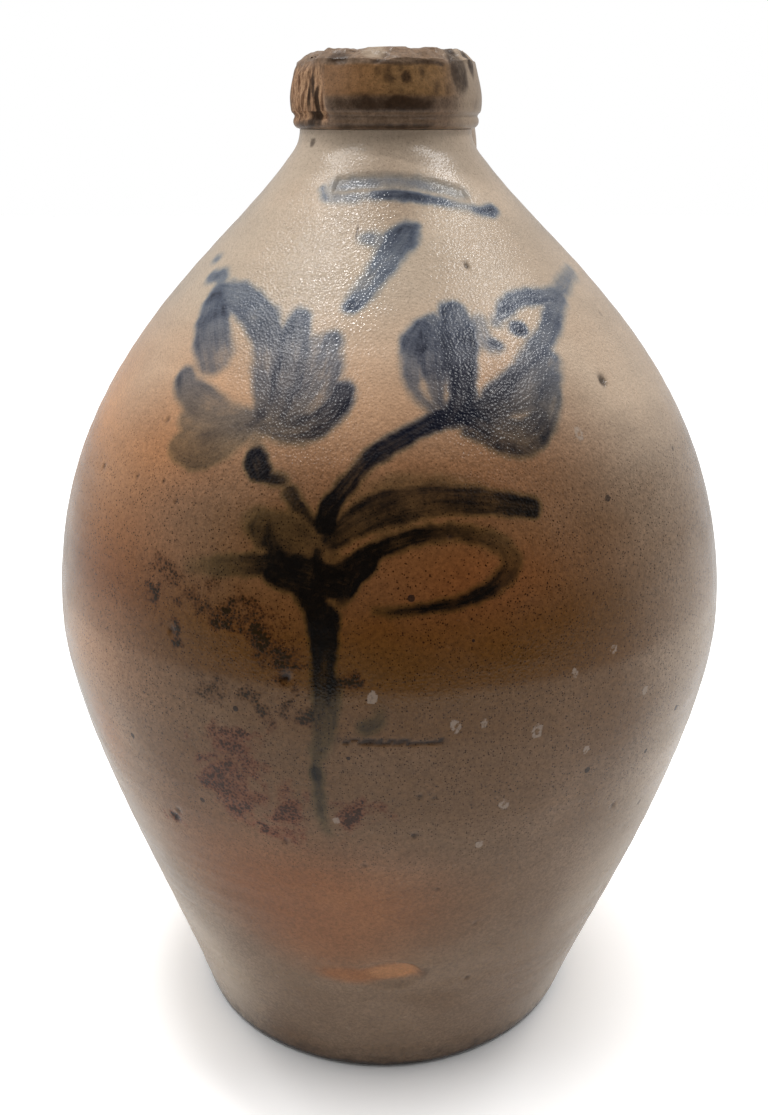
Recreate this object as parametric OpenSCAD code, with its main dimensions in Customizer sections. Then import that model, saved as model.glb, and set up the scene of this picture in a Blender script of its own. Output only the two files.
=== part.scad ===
// Ovoid salt-glazed stoneware jug, one gallon, standing on its base.
// Millimetres, +Z up, origin at the centre of the base. The handle is at the back, toward +Y.
// The body is two thrown halves luted together at the belly. A thick collar is luted on the neck,
// and a pulled strap handle joins the collar to the shoulder.

/* [Body] */
// Widest diameter, at the belly seam
belly_d = 192; // [176:1:210]
// Height of the belly seam above the base
seam_h = 130; // [115:1:150]
// Rise of the shoulder from the belly seam to the foot of the neck
shoulder_h = 122; // [105:1:140]
// Diameter of the flat base
base_d = 118; // [100:1:135]
// Lean of the wall out from upright where it leaves the base, in degrees
foot_lean = 16; // [8:1:22]
// Lean of the shoulder out from upright where it meets the neck, in degrees
shoulder_lean = 39; // [30:1:48]
// Width of the bevel trimmed round the edge of the base
base_bevel = 1.6; // [0.8:0.2:3]

/* [Walls] */
// Wall thickness at the belly seam
wall_t = 7; // [5.5:0.5:9]
// Wall thickness where the wall leaves the floor
foot_wall_t = 9; // [7:0.5:12]
// Wall thickness where the shoulder meets the neck, measured level
shoulder_wall_t = 10.5; // [9.5:0.5:12]
// Thickness of the floor
floor_t = 8.5; // [6.5:0.5:12]
// Radius of the inside corner between the floor and the wall
floor_round = 14; // [8:1:20]

/* [Belly seam] */
// Width of the V groove pressed in the rim of the lower half
key_w = 3.6; // [2.4:0.2:5]
// Depth of that groove
key_d = 2.2; // [1.4:0.2:3]

/* [Neck] */
// Diameter of the neck in the groove under the collar
neck_d = 46.2; // [43:0.2:49]
// Diameter where the shoulder turns up into the neck
neck_foot_d = 55.2; // [52:0.2:60]
// Rise of the neck from the shoulder to the underside of the collar
neck_h = 8.6; // [7:0.2:16]
// Diameter of the spigot that the collar is luted over
spigot_d = 37; // [35:0.5:39]
// Height of the spigot
spigot_h = 3; // [2:0.5:6]
// Diameter of the mouth, for a cork
mouth_d = 28; // [24:0.5:30]

/* [Collar] */
// Height of the collar from its underside to the rim
collar_h = 19.4; // [17:0.2:26]
// Widest diameter of the collar
collar_d = 50.8; // [49:0.2:56]
// Height of the widest part above the underside
collar_swell_h = 7.4; // [6.4:0.2:9]
// Diameter at the top of the collar's side, under the bevel
collar_top_d = 47.6; // [45:0.2:50]
// Height of the lower bead
bead_h = 3.8; // [2.6:0.2:5]
// Diameter of the lower bead
bead_d = 49.4; // [48.2:0.2:50.6]
// Height of the bevel cut round the top of the collar
bevel_h = 2.7; // [1.6:0.1:4]
// Width of that bevel, measured level
bevel_w = 3.8; // [2:0.2:5]
// Radius of the softened edge inside the rim
lip_round = 2; // [1:0.2:2.6]

/* [Handle] */
// Width of the strap at the collar
handle_top_w = 35; // [28:1:40]
// Width of the strap at its waist
handle_w = 27; // [22:1:34]
// Width of the strap where it spreads on the shoulder
handle_foot_w = 32; // [24:1:40]
// Thickness of the strap
handle_t = 9; // [7:0.5:12]
// Thickness of the strap where it is luted on
handle_root_t = 13; // [10:0.5:16]
// Drop from the rim to the middle of the strap at the collar
handle_drop = 12; // [10:0.5:14]
// Height above the base of the strap's lower end
handle_foot_h = 201; // [190:1:212]
// How far the strap runs out from the collar before it bends
handle_throw = 25; // [18:1:34]
// Tilt of the strap above level as it leaves the collar, in degrees
handle_top_tilt = 10; // [0:1:20]
// How far the strap's bow stands up from its lower end
handle_bow = 50; // [40:1:60]
// Tilt of the strap above level as it leaves the shoulder, in degrees
handle_foot_tilt = 80; // [70:1:90]
// Depth of the channel drawn down the outside of the strap
channel_d = 1.3; // [0.4:0.1:2]

/* [Hidden] */

// Full turns are true surfaces of revolution, so this only sets how the preview looks
$fn = 96;
// Steps along each curve of the wall, and round each small corner
curve_steps = 18;
corner_steps = 6;

belly_r = belly_d / 2;
base_r = base_d / 2;
neck_r = neck_d / 2;
neck_foot_r = neck_foot_d / 2;
mouth_r = mouth_d / 2;
spigot_r = spigot_d / 2;
neck_foot_z = seam_h + shoulder_h;
collar_z = neck_foot_z + neck_h;
rim_z = collar_z + collar_h;

// Reach of each curve's pull, as shares of the rise of the half that it belongs to
foot_pull_share = 0.31;
under_belly_share = 0.26;
over_belly_share = 0.55;
shoulder_pull_share = 0.26;
// Reach of the two pulls of the neck's cove, as a share of the neck's rise
cove_share = 0.42;
// How far down from the collar the straight throat runs, in spigot heights
throat_share = 2.6;

// How deep the handle's ends are modelled into the wall before they are trimmed to it
root_depth = handle_t * 0.6;
// Rings along the handle and points round its section
strap_rings = 34;
strap_points = 20;
// Squareness of the strap's section: 1 is an ellipse, less is squarer
strap_corner_share = 0.62;
// Width of the channel as a share of half the strap's width
channel_w_share = 0.42;

function along(p, angle_up, reach) = p + reach * [cos(angle_up), sin(angle_up)];

function bezier(a, b, c, d, t) =
    pow(1 - t, 3) * a + 3 * pow(1 - t, 2) * t * b + 3 * (1 - t) * t * t * c + t * t * t * d;

function curve(a, b, c, d, steps) = [for (i = [0:steps]) bezier(a, b, c, d, i / steps)];

function arc(centre, radius, from, to) =
    [for (i = [0:corner_steps])
        let (angle = from + (to - from) * i / corner_steps)
        centre + radius * [cos(angle), sin(angle)]];

// Outside of the lower half, from the base bevel up to the seam
function lower_outside() =
    let (foot = [base_r, 0], belly = [belly_r, seam_h],
         wall = curve(foot, along(foot, 90 - foot_lean, seam_h * foot_pull_share),
                      belly - [0, seam_h * under_belly_share], belly, curve_steps))
    concat([[base_r - base_bevel, 0], [base_r + base_bevel * tan(foot_lean), base_bevel]],
           [for (p = wall) if (p[1] > 2 * base_bevel) p]);

// Outside of the upper half, from the seam up to the foot of the neck
function shoulder_outside() =
    let (belly = [belly_r, seam_h], top = [neck_foot_r, neck_foot_z])
    curve(belly, belly + [0, shoulder_h * over_belly_share],
          along(top, shoulder_lean - 90, shoulder_h * shoulder_pull_share), top, curve_steps);

// The cove that turns the shoulder up into the neck, up to the underside of the collar
function neck_outside() =
    let (foot = [neck_foot_r, neck_foot_z], top = [neck_r, collar_z])
    curve(foot, along(foot, 90 + shoulder_lean, neck_h * cove_share),
          top - [0, neck_h * cove_share], top, corner_steps);

// Inside of the lower half, from the middle of the floor up to the seam
function lower_inside() =
    let (corner = [base_r + floor_t * tan(foot_lean) - foot_wall_t, floor_t],
         start = along(corner, 90 - foot_lean, floor_round),
         belly = [belly_r - wall_t, seam_h])
    concat([[0, floor_t]],
           curve(corner - [floor_round, 0], corner - [floor_round * 0.45, 0],
                 along(corner, 90 - foot_lean, floor_round * 0.45), start, corner_steps),
           [for (p = curve(start, along(start, 90 - foot_lean, seam_h * foot_pull_share),
                           belly - [0, seam_h * under_belly_share], belly, curve_steps))
               if (p[1] > start[1]) p]);

// Inside of the upper half, from the seam up to the straight throat
function shoulder_inside() =
    let (belly = [belly_r - wall_t, seam_h],
         throat = [mouth_r, collar_z - spigot_h * throat_share],
         top = [neck_foot_r - shoulder_wall_t, neck_foot_z - shoulder_wall_t])
    concat(curve(belly, belly + [0, shoulder_h * over_belly_share],
                 along(top, shoulder_lean - 90, shoulder_h * shoulder_pull_share), top, curve_steps),
           [throat]);

// The V that keys the two rims, drawn on the seam
function key_outline(side) =
    let (middle = belly_r - wall_t / 2)
    [[middle + side * key_w / 2, seam_h], [middle, seam_h - key_d], [middle - side * key_w / 2, seam_h]];

// Outside of the collar, from its underside up to the rim's inner edge
function collar_outside() =
    let (swell = [collar_d / 2, collar_z + collar_swell_h],
         top = [collar_top_d / 2, rim_z - bevel_h],
         bead = bead_h / 2)
    concat(arc([bead_d / 2 - bead, collar_z + bead], bead, -90, 90 - 50),
           curve([collar_d / 2 - (collar_d - bead_d) / 2, collar_z + bead_h],
                 [collar_d / 2, collar_z + bead_h], swell - [0, bead / 2], swell, corner_steps),
           curve(swell, swell + [0, bevel_h], top - [0, bevel_h], top, corner_steps),
           arc([collar_top_d / 2 - bevel_w, rim_z - lip_round / 2], lip_round / 2, 60, 90));

module lower_body() {
    color("#8a7564")
    rotate_extrude()
    polygon(concat([[0, 0]], lower_outside(), key_outline(1), reversed(lower_inside())));
}

module upper_body() {
    color("#a98f76")
    rotate_extrude()
    polygon(concat(shoulder_outside(), neck_outside(),
                   [[spigot_r, collar_z], [spigot_r, collar_z + spigot_h], [mouth_r, collar_z + spigot_h]],
                   reversed(shoulder_inside()), key_outline(-1)));
}

module neck_collar() {
    color("#7d6a4c")
    rotate_extrude()
    polygon(concat([[spigot_r, collar_z + spigot_h], [spigot_r, collar_z]], collar_outside(),
                   arc([mouth_r + lip_round, rim_z - lip_round], lip_round, 90, 180),
                   [[mouth_r, collar_z + spigot_h]]));
}

function reversed(points) = [for (i = [len(points) - 1:-1:0]) points[i]];

// Outer radius of the upper half at a height
function shoulder_r(z) = lookup(z, [for (p = shoulder_outside()) [p[1], p[0]]]);

// Middle line of the strap, in the plane through the axis and the handle
function strap_middle(t) =
    let (top = [collar_d / 2 - root_depth, rim_z - handle_drop],
         foot = [shoulder_r(handle_foot_h) - root_depth, handle_foot_h])
    bezier(top, along(top, handle_top_tilt, handle_throw + root_depth),
           along(foot, handle_foot_tilt, handle_bow), foot, t);

// Swell toward the collar, 1 there and 0 from a third of the way along; the foot has the same
function near_top(t) = pow(max(0, 1 - t * 3), 2);
function near_foot(t) = pow(max(0, 1 - (1 - t) * 4), 2);

function strap_w(t) =
    handle_w + (handle_top_w - handle_w) * pow(1 - t, 3) + (handle_foot_w - handle_w) * near_foot(t);
function strap_t(t) = handle_t + (handle_root_t - handle_t) * (near_top(t) + near_foot(t));

function signed_power(x, share) = sign(x) * pow(abs(x), share);

// One point of the strap's section: across, and out from its middle line
function strap_point(t, angle) =
    let (across = signed_power(cos(angle), strap_corner_share),
         out = signed_power(sin(angle), strap_corner_share),
         channel = out > 0 ? channel_d * exp(-pow(across / channel_w_share, 2)) : 0)
    [across * strap_w(t) / 2, out * strap_t(t) / 2 - channel];

function strap_ring(t) =
    let (middle = strap_middle(t), step = 1 / strap_rings / 4,
         ahead = strap_middle(t + step) - strap_middle(t - step),
         normal = [-ahead[1], ahead[0]] / norm(ahead))
    [for (i = [0:strap_points - 1])
        let (p = strap_point(t, 360 * i / strap_points))
        [p[0], middle[0] + normal[0] * p[1], middle[1] + normal[1] * p[1]]];

// The strap as one skin of triangles over its rings, with a fan over each end
module strap_loft() {
    ends = [0, strap_rings];
    points = concat([for (i = [0:strap_rings]) each strap_ring(i / strap_rings)],
                    [for (i = ends) let (m = strap_middle(i / strap_rings)) [0, m[0], m[1]]]);
    first_hub = (strap_rings + 1) * strap_points;
    side_faces = [for (i = [0:strap_rings - 1], j = [0:strap_points - 1])
        let (k = (j + 1) % strap_points, a = i * strap_points, b = a + strap_points)
        each [[a + j, b + k, b + j], [a + j, a + k, b + k]]];
    end_faces = [for (j = [0:strap_points - 1])
        let (k = (j + 1) % strap_points, b = strap_rings * strap_points)
        each [[first_hub, k, j], [first_hub + 1, b + j, b + k]]];
    polyhedron(points, concat(side_faces, end_faces));
}

module strap_handle() {
    color("#94806c")
    difference() {
        strap_loft();
        rotate_extrude()
        polygon(concat([[0, seam_h]], shoulder_outside(), neck_outside(), collar_outside(), [[0, rim_z]]));
    }
}

lower_body();
upper_body();
neck_collar();
strap_handle();
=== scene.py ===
import math

import bpy
import numpy as np
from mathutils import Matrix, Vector, noise


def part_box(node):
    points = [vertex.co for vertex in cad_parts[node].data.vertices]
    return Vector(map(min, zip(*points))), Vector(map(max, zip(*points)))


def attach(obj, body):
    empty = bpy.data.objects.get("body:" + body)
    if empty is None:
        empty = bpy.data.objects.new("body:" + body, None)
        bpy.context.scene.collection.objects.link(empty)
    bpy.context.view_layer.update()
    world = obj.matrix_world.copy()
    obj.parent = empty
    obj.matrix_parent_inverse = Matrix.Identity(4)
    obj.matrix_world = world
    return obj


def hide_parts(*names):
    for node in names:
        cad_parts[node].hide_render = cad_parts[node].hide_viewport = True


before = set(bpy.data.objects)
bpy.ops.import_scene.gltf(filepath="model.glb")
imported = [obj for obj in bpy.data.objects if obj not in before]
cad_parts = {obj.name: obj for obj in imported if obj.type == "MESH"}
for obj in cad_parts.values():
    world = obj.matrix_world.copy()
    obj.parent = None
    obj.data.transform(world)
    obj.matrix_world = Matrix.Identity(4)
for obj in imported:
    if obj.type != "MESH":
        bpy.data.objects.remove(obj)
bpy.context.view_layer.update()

# The view. The eye stands a little below the rim, on the painted side, and looks down at the
# belly. The painted side is turned a little to the viewer's right of the side opposite the handle.
mm = 0.001
paint_turn = math.radians(13.5)
eye_distance = 338.7 * mm
eye_height = 264.9 * mm
eye_side_step = 1.3 * mm
eye_tilt = 0.3558
picture_height_px = 1115
focal_px = 1200
axis_offset_px = 0.85
film_height_mm = 36

toward_eye = Vector((math.sin(paint_turn), -math.cos(paint_turn), 0))
viewer_right = Vector((math.cos(paint_turn), math.sin(paint_turn), 0))
camera_data = bpy.data.cameras.new("view")
camera_data.sensor_width = film_height_mm
camera_data.lens = film_height_mm * focal_px / picture_height_px
camera_data.shift_x = -axis_offset_px / picture_height_px
camera_data.clip_start = 10 * mm
camera = bpy.data.objects.new("view", camera_data)
camera.location = toward_eye * eye_distance - viewer_right * eye_side_step + Vector((0, 0, eye_height))
camera.rotation_euler = (math.pi / 2 - eye_tilt, 0, paint_turn)
bpy.context.scene.collection.objects.link(camera)
bpy.context.scene.camera = camera
bpy.context.scene.view_settings.view_transform = "Standard"


# The room. A light tent of white walls is open on the eye's side, where the room is dim, and three
# soft lamps hang over the jug. The white table runs forward only as far as the tent does.
def plug(tree, socket, value):
    if isinstance(value, bpy.types.NodeSocket):
        tree.links.new(value, socket)
    else:
        socket.default_value = value


def add(tree, kind, inputs=None, **settings):
    # A node with its settings, each input given a value or linked to another node's output
    node = tree.nodes.new(kind)
    for key, value in settings.items():
        setattr(node, key, value)
    for label, value in (inputs or {}).items():
        plug(tree, node.inputs[label], value)
    return node


def calc(tree, operation, a, b, clamp=False):
    return add(tree, "ShaderNodeMath", {0: a, 1: b}, operation=operation, use_clamp=clamp).outputs[0]


def times(tree, a, b, clamp=False):
    return calc(tree, "MULTIPLY", a, b, clamp)


def plus(tree, a, b, clamp=False):
    return calc(tree, "ADD", a, b, clamp)


def minus(tree, a, b):
    return calc(tree, "SUBTRACT", a, b)


def ease(tree, value, low, high, to_low=0.0, to_high=1.0):
    inputs = {"Value": value, "From Min": low, "From Max": high, "To Min": to_low, "To Max": to_high}
    return add(tree, "ShaderNodeMapRange", inputs, interpolation_type="SMOOTHSTEP").outputs["Result"]


def fresh_tree(owner):
    owner.use_nodes = True
    owner.node_tree.nodes.clear()
    return owner.node_tree


# How bright the tent and the open room are as light, and how bright they mirror in the glaze
tent_glow = 0.82
tent_shine = 0.46
room_glow = 0.16
room_shine = 0.02
# Where the tent ends and where the room is all that shows, as cosines from the eye's side
tent_mouth = (0.15, 0.75)

world = bpy.data.worlds.new("tent")
bpy.context.scene.world = world
sky = fresh_tree(world)
sight = add(sky, "ShaderNodeTexCoord").outputs["Generated"]
facing = add(sky, "ShaderNodeVectorMath", {0: sight, 1: tuple(toward_eye)}, operation="DOT_PRODUCT")
in_mouth = ease(sky, facing.outputs["Value"], *tent_mouth)
ray = add(sky, "ShaderNodeLightPath")
shiny_ray = calc(sky, "MAXIMUM", ray.outputs["Is Glossy Ray"], ray.outputs["Is Transmission Ray"])
glow = ease(sky, in_mouth, 0, 1, tent_glow, room_glow)
shine = ease(sky, in_mouth, 0, 1, tent_shine, room_shine)
lit = ease(sky, shiny_ray, 0, 1, glow, shine)
seen = calc(sky, "MAXIMUM", lit, ray.outputs["Is Camera Ray"])
backdrop = add(sky, "ShaderNodeBackground", {"Color": (1, 1, 1, 1), "Strength": seen})
add(sky, "ShaderNodeOutputWorld", {"Surface": backdrop.outputs[0]})

lamp_aim_height = 150 * mm


def soft_lamp(name, bearing, climb, distance, along, upward, watts):
    # Degrees round from the eye and up from the table, the distance and the lamp's size in metres
    data = bpy.data.lights.new(name, "AREA")
    data.shape = "RECTANGLE"
    data.size = along
    data.size_y = upward
    data.energy = watts
    lamp = bpy.data.objects.new(name, data)
    turn = paint_turn + math.radians(bearing)
    level = math.cos(math.radians(climb))
    place = Vector((math.sin(turn) * level, -math.cos(turn) * level, math.sin(math.radians(climb))))
    lamp.location = place * distance + Vector((0, 0, lamp_aim_height))
    lamp.rotation_euler = place.to_track_quat("Z", "Y").to_euler()
    bpy.context.scene.collection.objects.link(lamp)


soft_lamp("lamp_over", -88, 76, 0.9, 0.022, 0.16, 2.0)
soft_lamp("lamp_left", -77, 60, 1.0, 0.75, 0.055, 2.4)
soft_lamp("lamp_right", 84, 58, 1.0, 0.7, 0.09, 2.8)

table_reach = 3.0
table_front = 0.58
table_white = 0.86
# To the eye the table is whiter than the light it throws back, but for the shade close by the jug
table_glare = 0.78
shade_reach = 35 * mm

table_corners = [(-table_reach, -table_front), (table_reach, -table_front),
                 (table_reach, table_reach), (-table_reach, table_reach)]
table_mesh = bpy.data.meshes.new("table")
table_spots = [tuple(viewer_right * x - toward_eye * y) for x, y in table_corners]
table_mesh.from_pydata(table_spots, [], [(0, 1, 2, 3)])
table = bpy.data.objects.new("table", table_mesh)
bpy.context.scene.collection.objects.link(table)

table_paint = bpy.data.materials.new("table_paint")
paint = fresh_tree(table_paint)
matte = add(paint, "ShaderNodeBsdfDiffuse", {"Color": (table_white, table_white, table_white, 1)})
to_eye = add(paint, "ShaderNodeLightPath").outputs["Is Camera Ray"]
open_sky = add(paint, "ShaderNodeAmbientOcclusion", {"Distance": shade_reach}).outputs["AO"]
glare = times(paint, to_eye, times(paint, open_sky, table_glare))
whiter = add(paint, "ShaderNodeBsdfDiffuse", {"Color": glare})
both = add(paint, "ShaderNodeAddShader", {0: matte.outputs[0], 1: whiter.outputs[0]})
add(paint, "ShaderNodeOutputMaterial", {"Surface": both.outputs[0]})
table_mesh.materials.append(table_paint)

# The lower half: the first bowl thrown, trimmed at the foot and grooved in its rim to take the
# upper half. It is grey-brown stoneware under a salt glaze, scorched orange where the flame ran
# low, with pits, crusts of kiln drippings and the scar of a piece that touched it in the kiln.
belly_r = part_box("lower_body")[1][0] / mm
seam_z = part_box("lower_body")[1][2] / mm
base_r = 59
foot_lean = math.radians(16)
foot_pull = 40.3
under_belly_pull = 33.8
wall = 7
foot_wall = 9
floor_thick = 8.5
floor_round = 14
round_pull = floor_round * 0.45
# Where rings of points lie across the flat base and, from its edge in, across the floor
base_rings = (0, 18, 36, 50)
floor_rings = (30, 12, 0)
groove_w = 3.6
groove_deep = 2.2
# The rounded edge that the jug stands on, as (outward from the base's edge, height)
foot_edge = [(-1.7, 0), (-0.8, 0.3), (0.1, 1.1)]
foot_edge_top = 2.4
# How far apart the points of an outline lie
skin_step = 0.85
inside_step = 8
corner_step = 3
# Faces that meet at more than this keep a sharp edge
crease = math.radians(50)


def bezier(a, b, c, d, steps=200):
    t = np.linspace(0, 1, steps)[:, None]
    a, b, c, d = (np.array(p, float) for p in (a, b, c, d))
    return (1 - t) ** 3 * a + 3 * (1 - t) ** 2 * t * b + 3 * (1 - t) * t * t * c + t ** 3 * d


def evenly(points, step):
    points = np.array(points, float)
    run = np.concatenate([[0], np.cumsum(np.hypot(*np.diff(points, axis=0).T))])
    marks = np.linspace(0, run[-1], max(2, round(run[-1] / step) + 1))
    return np.stack([np.interp(marks, run, points[:, 0]), np.interp(marks, run, points[:, 1])], 1)


def leaning(angle, reach):
    return np.array([math.sin(angle), math.cos(angle)]) * reach


foot = np.array([base_r, 0.0])
belly = np.array([belly_r, seam_z])
lower_wall = bezier(foot, foot + leaning(foot_lean, foot_pull), belly - [0, under_belly_pull], belly)
lower_wall = lower_wall[lower_wall[:, 1] > foot_edge_top]
lower_skin = evenly(np.concatenate([foot + foot_edge, lower_wall]), skin_step)
corner = np.array([base_r + floor_thick * math.tan(foot_lean) - foot_wall, floor_thick])
rise = corner + leaning(foot_lean, floor_round)
inner_belly = belly - [wall, 0]
inner_wall = bezier(rise, rise + leaning(foot_lean, foot_pull), inner_belly - [0, under_belly_pull],
                    inner_belly)
inner_corner = bezier(corner - [floor_round, 0], corner - [round_pull, 0],
                      corner + leaning(foot_lean, round_pull), rise)
lower_inside = np.concatenate([evenly(inner_wall, inside_step)[::-1],
                               evenly(inner_corner, corner_step)[::-1][1:]])


def groove(side):
    middle = belly_r - wall / 2
    return [(middle + side * groove_w / 2, seam_z), (middle, seam_z - groove_deep),
            (middle - side * groove_w / 2, seam_z)]


# Columns stand close together across the painted front and further apart behind
columns = np.concatenate([np.arange(-68, -46, 0.55), np.arange(-46, 46, 0.35),
                          np.arange(46, 68, 0.55), np.arange(68, 292, 2.8)])


# The jug stands a little crooked: the foot and the collar lie left of the belly
foot_left = 1.65
collar_left = 0.95


def lean(z):
    low = -foot_left * np.clip(1 - z / 80, 0, 1) ** 2
    high = -collar_left * np.clip((z - seam_z) / 125, 0, None) ** 1.5
    return low + high


def wander(points, scale, seed):
    shift = Vector((seed, seed * 1.7, seed * 0.6))
    return np.array([noise.noise(Vector(p) / scale + shift) for p in points])


def clay_piece(name, points, faces):
    mesh = bpy.data.meshes.new(name)
    mesh.from_pydata([tuple(p) for p in points], [], faces)
    mesh.polygons.foreach_set("use_smooth", [True] * len(faces))
    piece = bpy.data.objects.new(name, mesh)
    bpy.context.scene.collection.objects.link(piece)
    return piece


def turn_on_wheel(name, parts, dent, columns=columns, closed=False):
    # Turns an outline round the axis into one closed skin. Each part is (points, is it outside).
    # An outline that isn't closed starts and ends on the axis. With the piece comes where its points
    # lie: degrees round, height, place before any dent, and whether they show.
    outline = np.concatenate([np.array(points, float) for points, outside in parts])
    outside = np.concatenate([np.full(len(points), float(shows)) for points, shows in parts])
    ahead = np.concatenate([np.gradient(np.array(points, float), axis=0) for points, outside in parts])
    out = np.stack([ahead[:, 1], -ahead[:, 0]], 1) / np.maximum(np.hypot(*ahead.T), 1e-6)[:, None]
    rows = range(len(outline)) if closed else range(1, len(outline) - 1)
    picked = outline[rows]
    turn, r = np.meshgrid(columns, picked[:, 0])
    turn, z = np.meshgrid(columns, picked[:, 1])
    shown = np.repeat(outside[rows], len(columns))
    turn, r, z = turn.ravel(), r.ravel(), z.ravel()
    angle = np.radians((turn + 180) % 360 - 180)
    true = np.stack([r * np.sin(angle), -r * np.cos(angle), z], 1)
    deep = dent(np.degrees(angle), z, true) * shown
    out = np.repeat(out[rows], len(columns), 0)
    r2, z2 = r - deep * out[:, 0], np.maximum(z - deep * out[:, 1], 0)
    place = angle + paint_turn
    x = r2 * np.sin(place) + lean(z) * viewer_right.x
    y = -r2 * np.cos(place) + lean(z) * viewer_right.y
    points = list(np.stack([x, y, z2], 1) * mm)
    wide, tall = len(columns), len(picked)
    faces = []
    for i in range(tall if closed else tall - 1):
        low, high = i * wide, (i + 1) % tall * wide
        faces += [(low + j, low + (j + 1) % wide, high + (j + 1) % wide, high + j) for j in range(wide)]
    if not closed:
        points += [(lean(h) * viewer_right.x * mm, lean(h) * viewer_right.y * mm, h * mm)
                   for h in (outline[0, 1], outline[-1, 1])]
        hub, top = len(points) - 2, (tall - 1) * wide
        faces += [(hub, (j + 1) % wide, j) for j in range(wide)]
        faces += [(hub + 1, top + j, top + (j + 1) % wide) for j in range(wide)]
    piece = clay_piece(name, points, faces)
    piece.data.set_sharp_from_angle(angle=crease)
    hubs = len(points) - len(true)
    where = (np.concatenate([np.degrees(angle), np.zeros(hubs)]),
             np.concatenate([z, [outline[0, 1], outline[-1, 1]][:hubs]]),
             np.concatenate([true, np.zeros((hubs, 3))]), np.concatenate([shown, np.zeros(hubs)]))
    return piece, where


def stamp_masks(piece, **masks):
    for name, values in masks.items():
        mask = piece.data.attributes.new(name, "FLOAT", "POINT")
        mask.data.foreach_set("value", np.asarray(values, np.float32))


def smooth(x, low, high):
    t = np.clip((x - low) / (high - low), 0, 1)
    return t * t * (3 - 2 * t)


def between(x, low, full, fade, high):
    return smooth(x, low, full) * (1 - smooth(x, fade, high))


# Where the marks of either side fade out behind, so that both sides meet there, in degrees round
behind = (100, 172)


def flank(turn, low, high):
    # One side only: 0 before low, 1 past high, and 0 again behind
    return between(turn, low, high, *behind)


def patch(turn, z, at, reach, soft):
    # A rounded patch, 1 in its middle and 0 at its reach, in degrees and millimetres
    far = np.hypot((turn - at[0]) / reach[0], (z - at[1]) / reach[1])
    return 1 - smooth(far, 1 - soft, 1)


# The larger pits, each (degrees, height, width, depth) in mm
open_pits = [(-14.5, 144, 2.2, 0.9), (4.2, 114, 1.4, 0.5), (6.3, 113.4, 1.2, 0.5),
             (3.6, 101.5, 1.8, 0.6), (23.5, 230.5, 1.6, 0.5), (-9.6, 126.5, 1.3, 0.4),
             (-10.8, 122.3, 1.0, 0.4), (-38.5, 93, 3.4, 0.5), (-37.2, 96, 2.2, 0.4), (-4, 91, 1.4, 0.4),
             (8, 82, 1.2, 0.4), (16, 66, 1.2, 0.3), (17.5, 41, 1.6, 0.4), (-16.5, 97, 1.6, 0.4),
             (40, 96, 2.0, 0.4), (-58.5, 180.4, 1.6, 0.4), (-46.5, 181.7, 1.4, 0.4),
             (-39.7, 182.5, 1.1, 0.4), (-36, 179, 1.3, 0.4), (-43.8, 195.5, 1.3, 0.4),
             (-33.3, 150, 2.0, 0.4), (9, 176, 1.4, 0.4), (47, 203.5, 3.0, 0.7)]


def pit_depth(turn, z, true):
    deep = np.zeros(len(turn))
    for at, height, width, depth in open_pits:
        near = (np.abs(turn - at) < 6) & (np.abs(z - height) < 4)
        r = np.hypot(true[near, 0], true[near, 1])
        far = np.hypot(np.radians(turn[near] - at) * r, z[near] - height) / (width / 2)
        deep[near] = np.maximum(deep[near], depth * np.exp(-far ** 2 * 1.5))
    return deep


# The row of bubbles that burst along the join, and the scar where another piece touched the jug
bubble_row_z = 129.5
bubble_row_ends = (-8, -6, 6.6, 8.4)
bubble_width = 0.55
scar_at = (0, 46)
scar_reach = (7.5, 6.5)
scar_depth = 1.2


def seam_line(turn, z, true):
    middle = bubble_row_z + 0.7 * wander(true, 2.6, 61.0)
    beads = np.clip(0.75 + 1.3 * wander(true, 1.1, 62.0), 0, 1)
    return beads * np.exp(-((z - middle) / bubble_width) ** 2) * between(turn, *bubble_row_ends)


def body_dent(turn, z, true):
    # Throwing rings, a little wandering of the wall, the pits and the kiln scar
    around = true / [40, 40, 3.2]
    calm = 1 - 0.8 * np.exp(-((z - 146) / 16) ** 2)
    rings = 0.10 * calm * (1 + wander(around, 1.0, 3.0))
    wave = 0.22 * (1 + wander(true / [1, 1, 1.6], 34.0, 9.0)) * smooth(np.abs(z - seam_z), 2, 22)
    scar = scar_depth * patch(turn, z, scar_at, scar_reach, 0.25) * smooth(turn, -8, 4)
    return rings + wave + scar + pit_depth(turn, z, true) + 0.3 * seam_line(turn, z, true)


lower_body, lower_where = turn_on_wheel(
    "lower_body_clay",
    [([(r, 0) for r in base_rings], 0), (lower_skin, 1), (groove(1), 0), (lower_inside, 0),
     ([(r, floor_thick) for r in floor_rings], 0)],
    body_dent)


def mottle(tree, vector, scale, detail, rough=0.55):
    inputs = {"Vector": vector, "Scale": scale, "Detail": detail, "Roughness": rough}
    return add(tree, "ShaderNodeTexNoise", inputs).outputs["Fac"]


def cells(tree, vector, scale):
    return add(tree, "ShaderNodeTexVoronoi", {"Vector": vector, "Scale": scale}).outputs


def stretch(tree, vector, scale):
    return add(tree, "ShaderNodeVectorMath", {0: vector, 1: scale}, operation="MULTIPLY").outputs[0]


def blend(tree, amount, a, b, how="MIX"):
    inputs = {"Factor": amount, "A": a, "B": b}
    return add(tree, "ShaderNodeMix", inputs, data_type="RGBA", blend_type=how).outputs["Result"]


def new_group(name, wants, gives):
    group = bpy.data.node_groups.new(name, "ShaderNodeTree")
    for way, sockets in (("INPUT", wants), ("OUTPUT", gives)):
        for kind, labels in sockets.items():
            for label in labels.split(", "):
                group.interface.new_socket(name=label, in_out=way, socket_type="NodeSocket" + kind)
    return group, add(group, "NodeGroupInput").outputs, add(group, "NodeGroupOutput").inputs


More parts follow.
